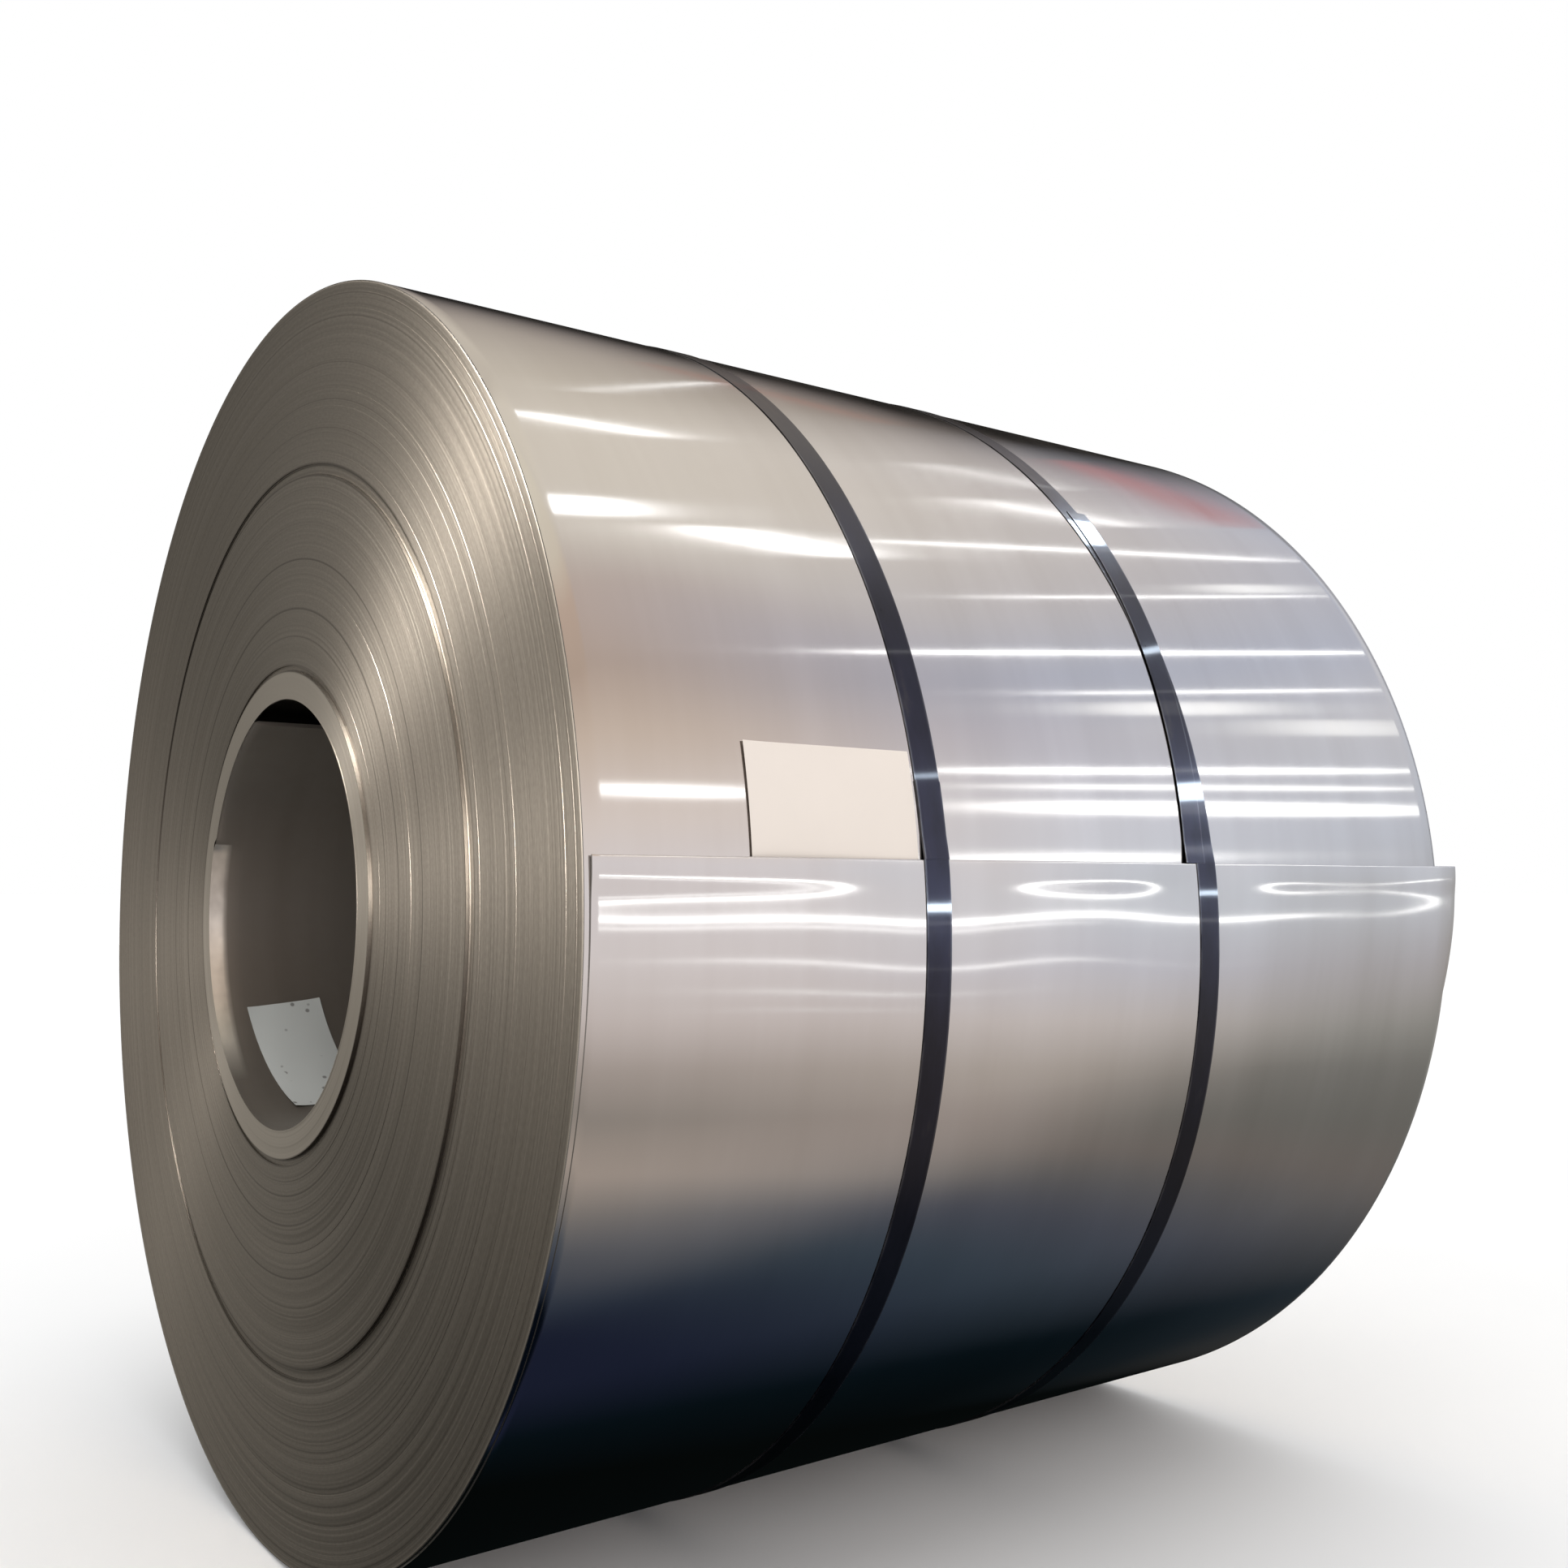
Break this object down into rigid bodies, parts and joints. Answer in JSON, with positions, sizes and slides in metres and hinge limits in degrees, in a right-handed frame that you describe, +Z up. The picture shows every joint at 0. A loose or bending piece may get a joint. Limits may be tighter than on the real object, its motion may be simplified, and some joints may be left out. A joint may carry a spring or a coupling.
{
  "type": "steel coil",
  "caption": "Wide coil of bright stainless steel strip lying on its side, held by dark steel straps, with a blank label on the outside and a paper tag in the bore.",
  "frame": {"origin": "on the bore's axis, halfway along the strip's width", "axes": "+Y along the bore, away from the end with the paper tag; +X towards the side with the strip's cut end; +Z up as the coil lies"},
  "size_m": [1.4738, 1.2822, 1.4727],
  "materials": {
    "bright_steel": "bright annealed, mirror-like on the outside, with fine turns of strip edge on the ends",
    "blued_strap": "blue-black strapping steel, half gloss, worn along its edges",
    "cream_paper": "smooth matte card, blank",
    "white_paper": "matte paper tag with a few small spots, blank"
  },
  "bodies": {
    "root": {"coil": "bright_steel", "outer_wrap": "bright_steel", "strap_near": "blued_strap", "strap_far": "blued_strap", "outer_label": "cream_paper", "bore_label": "white_paper"}
  },
  "joints": []
}
